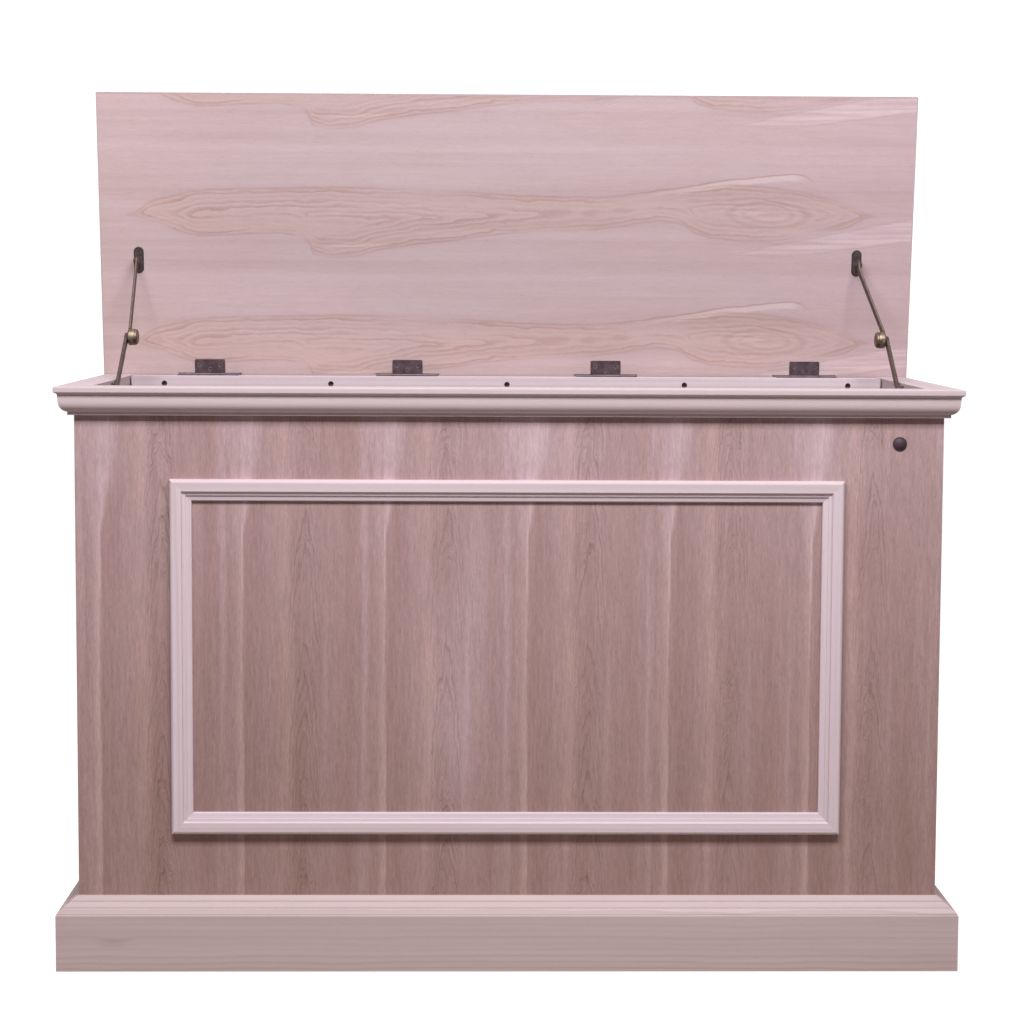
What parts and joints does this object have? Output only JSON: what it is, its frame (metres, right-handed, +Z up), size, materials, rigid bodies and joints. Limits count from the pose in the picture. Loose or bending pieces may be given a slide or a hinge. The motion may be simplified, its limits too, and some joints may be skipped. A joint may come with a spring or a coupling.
{
  "type": "lift-lid storage chest",
  "caption": "Tall veneered storage chest with moulded crown and base, a framed front, and a full-width hinged lid held open by folding stays.",
  "frame": {"origin": "on the floor, under the centre of the overall outline with the lid open", "axes": "+X to the viewer's right along the front, +Y towards the back where the hinges are, +Z up"},
  "size_m": [1.2772, 0.4662, 1.2649],
  "materials": {
    "body_veneer": "unfinished maple-like veneer, vertical grain, pinkish brown",
    "lid_veneer": "unfinished pale veneer, horizontal cathedral grain",
    "lid_lipping": "solid lipping, sanded",
    "crown_poplar": "unfinished poplar moulding",
    "base_poplar": "unfinished poplar board",
    "frame_poplar": "unfinished pale moulding",
    "rail_poplar": "unfinished pale poplar",
    "floor_plywood": "veneered plywood",
    "cleat_softwood": "sawn softwood",
    "hinge_gunmetal": "dark gunmetal",
    "dark_screw": "black oxide",
    "stay_bronze": "oil-rubbed bronze",
    "drum_brass": "antique brass, worn bright at the rim",
    "eye_lens": "dark purple-black, satin",
    "eye_nut": "black"
  },
  "bodies": {
    "chest": {"front_panel": "body_veneer", "left_side_panel": "body_veneer", "right_side_panel": "body_veneer", "back_panel": "body_veneer", "storage_floor": "floor_plywood", "floor_cleat_front": "cleat_softwood", "floor_cleat_back": "cleat_softwood", "floor_cleat_left": "cleat_softwood", "floor_cleat_right": "cleat_softwood", "floor_cleat_screws": "dark_screw", "front_left_corner_post": "cleat_softwood", "front_right_corner_post": "cleat_softwood", "back_left_corner_post": "cleat_softwood", "back_right_corner_post": "cleat_softwood", "hinge_rail": "rail_poplar", "hinge_rail_screws": "dark_screw", "crown_front": "crown_poplar", "crown_left": "crown_poplar", "crown_right": "crown_poplar", "base_front": "base_poplar", "base_left": "base_poplar", "base_right": "base_poplar", "front_frame_top": "frame_poplar", "front_frame_bottom": "frame_poplar", "front_frame_left": "frame_poplar", "front_frame_right": "frame_poplar", "front_eye": "eye_lens", "front_eye_nut": "eye_nut", "hinge_1_frame_leaf": "hinge_gunmetal", "hinge_2_frame_leaf": "hinge_gunmetal", "hinge_3_frame_leaf": "hinge_gunmetal", "hinge_4_frame_leaf": "hinge_gunmetal", "hinge_pins": "hinge_gunmetal", "hinge_frame_screws": "dark_screw", "stay_left_wall_plate": "stay_bronze", "stay_right_wall_plate": "stay_bronze", "stay_wall_screws": "stay_bronze", "stay_wall_rivets": "stay_bronze"},
    "lid": {"lid_panel": "lid_veneer", "lid_edge_front": "lid_lipping", "lid_edge_back": "lid_lipping", "lid_edge_left": "lid_lipping", "lid_edge_right": "lid_lipping", "hinge_1_lid_leaf": "hinge_gunmetal", "hinge_2_lid_leaf": "hinge_gunmetal", "hinge_3_lid_leaf": "hinge_gunmetal", "hinge_4_lid_leaf": "hinge_gunmetal", "hinge_lid_screws": "dark_screw", "stay_left_lid_plate": "stay_bronze", "stay_right_lid_plate": "stay_bronze", "stay_lid_screws": "stay_bronze", "stay_lid_rivets": "stay_bronze"},
    "stay_left_lower": {"stay_left_lower_arm": "stay_bronze"},
    "stay_left_upper": {"stay_left_upper_arm": "stay_bronze", "stay_left_drum": "drum_brass"},
    "stay_right_lower": {"stay_right_lower_arm": "stay_bronze"},
    "stay_right_upper": {"stay_right_upper_arm": "stay_bronze", "stay_right_drum": "drum_brass"}
  },
  "joints": [
    {"name": "lid_hinge", "type": "hinge", "parent": "chest", "child": "lid", "pos_m": [0, 0.2133, 0.8266], "axis": [1, 0, 0], "range_deg": [0, 82.7]},
    {"name": "stay_left_wall_pivot", "type": "hinge", "parent": "chest", "child": "stay_left_lower", "pos_m": [-0.58215, -0.0206, 0.8024], "axis": [1, 0, 0], "range_deg": [-110, 0]},
    {"name": "stay_left_lid_pivot", "type": "hinge", "parent": "lid", "child": "stay_left_upper", "pos_m": [-0.57785, 0.1783, 1.00459], "axis": [1, 0, 0], "range_deg": [-43.5, 0]},
    {"name": "stay_right_wall_pivot", "type": "hinge", "parent": "chest", "child": "stay_right_lower", "pos_m": [0.58215, -0.0206, 0.8024], "axis": [1, 0, 0], "range_deg": [-110, 0]},
    {"name": "stay_right_lid_pivot", "type": "hinge", "parent": "lid", "child": "stay_right_upper", "pos_m": [0.55085, 0.1783, 1.00459], "axis": [1, 0, 0], "range_deg": [-43.5, 0]}
  ],
  "couplings": [
    {"joint": "stay_left_wall_pivot", "follows": "lid_hinge", "ratio": -1.2065},
    {"joint": "stay_left_lid_pivot", "follows": "lid_hinge", "ratio": -0.52333},
    {"joint": "stay_right_wall_pivot", "follows": "lid_hinge", "ratio": -1.2065},
    {"joint": "stay_right_lid_pivot", "follows": "lid_hinge", "ratio": -0.52333}
  ]
}
